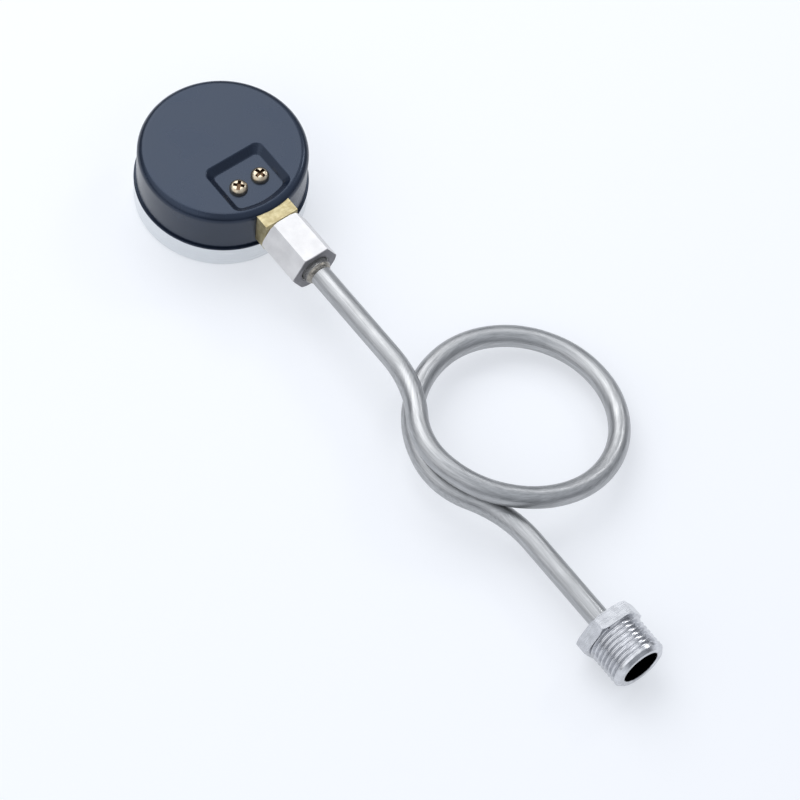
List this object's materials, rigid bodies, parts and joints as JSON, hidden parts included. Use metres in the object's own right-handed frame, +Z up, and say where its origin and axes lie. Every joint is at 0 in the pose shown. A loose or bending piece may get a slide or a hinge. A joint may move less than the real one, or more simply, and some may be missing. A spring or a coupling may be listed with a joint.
{
  "type": "pressure gauge with coil siphon",
  "caption": "Dial pressure gauge with bottom stem, coupled by a hexagon nut to a coil siphon that ends in a male pipe thread; its pointer movement turns inside.",
  "frame": {"origin": "on the axis of the male process thread, at the shoulder where it meets its hexagon", "axes": "+X out of the process thread, along the two legs of the siphon; +Z up, away from the surface that the gauge's face and the hexagon rest on; the coil lies towards +Y"},
  "size_m": [0.2769, 0.0976, 0.0288],
  "materials": {
    "stainless_tube": "satin, brushed along the tube",
    "stainless_turned": "turned",
    "weld_bead": "bright weld with a little heat colour",
    "plated_nut": "satin nickel plate",
    "seal_fibre": "matt",
    "black_enamel": "semi-gloss black enamel",
    "bright_ring": "bright, finely brushed",
    "window_glass": "clear",
    "seal_rubber": "matt",
    "socket_brass": "milled",
    "yellow_zinc": "yellow zinc plate",
    "bronze_tube": "drawn bronze",
    "movement_brass": "stamped",
    "movement_steel": "turned",
    "spring_bronze": "bright strip",
    "dial_white": "matt white",
    "pointer_black": "matt black"
  },
  "bodies": {
    "gauge_and_siphon": {"siphon_tube": "stainless_tube", "process_connection": "stainless_turned", "lower_weld": "weld_bead", "upper_weld": "weld_bead", "siphon_tail": "stainless_turned", "sealing_washer": "seal_fibre", "coupling_nut": "plated_nut", "case": "black_enamel", "bezel_ring": "bright_ring", "window": "window_glass", "window_gasket": "seal_rubber", "socket": "socket_brass", "case_screw_1": "yellow_zinc", "case_screw_2": "yellow_zinc", "bourdon_tube": "bronze_tube", "front_plate": "movement_brass", "back_plate": "movement_brass", "pillar_1": "movement_brass", "pillar_2": "movement_brass", "pillar_3": "movement_brass", "movement_screw_1": "movement_steel", "movement_screw_2": "movement_steel", "hairspring": "spring_bronze", "hairspring_stud": "movement_brass", "dial": "dial_white", "stop_pin": "movement_steel", "dial_spacer_1": "movement_brass", "dial_spacer_2": "movement_brass", "dial_screw_1": "movement_steel", "dial_screw_2": "movement_steel"},
    "pointer_shaft": {"pinion": "movement_steel", "pointer": "pointer_black", "pointer_hub": "movement_brass", "hairspring_collet": "movement_brass"},
    "sector": {"sector_gear": "movement_brass", "sector_arbor": "movement_steel", "tail_pin": "movement_steel"},
    "link": {"link": "movement_brass"},
    "tube_end": {"tube_tip": "movement_brass", "tip_pin": "movement_steel"}
  },
  "joints": [
    {"name": "pointer_spin", "type": "hinge", "parent": "gauge_and_siphon", "child": "pointer_shaft", "pos_m": [-0.23, 0.00129, 0.0002], "axis": [0, 0, 1], "range_deg": [0, 270], "stiffness_Nm_per_rad": 0.00002, "deforming": ["hairspring"]},
    {"name": "sector_swing", "type": "hinge", "parent": "gauge_and_siphon", "child": "sector", "pos_m": [-0.22118, -0.01085, 0.0002], "axis": [0, 0, 1], "range_deg": [-30, 0]},
    {"name": "link_swing", "type": "hinge", "parent": "sector", "child": "link", "pos_m": [-0.21734, -0.01533, 0.00125], "axis": [0, 0, 1], "range_deg": [0, 28.79]},
    {"name": "tube_end_travel", "type": "hinge", "parent": "gauge_and_siphon", "child": "tube_end", "pos_m": [-0.23641, 0.00555, 0.00917], "axis": [0, 0, 1], "range_deg": [-6.62, 0], "deforming": ["bourdon_tube"]}
  ],
  "couplings": [
    {"joint": "sector_swing", "follows": "pointer_spin", "ratio": -0.11111},
    {"joint": "link_swing", "follows": "pointer_spin", "ratio": 0.10662},
    {"joint": "tube_end_travel", "follows": "pointer_spin", "ratio": -0.024507}
  ]
}
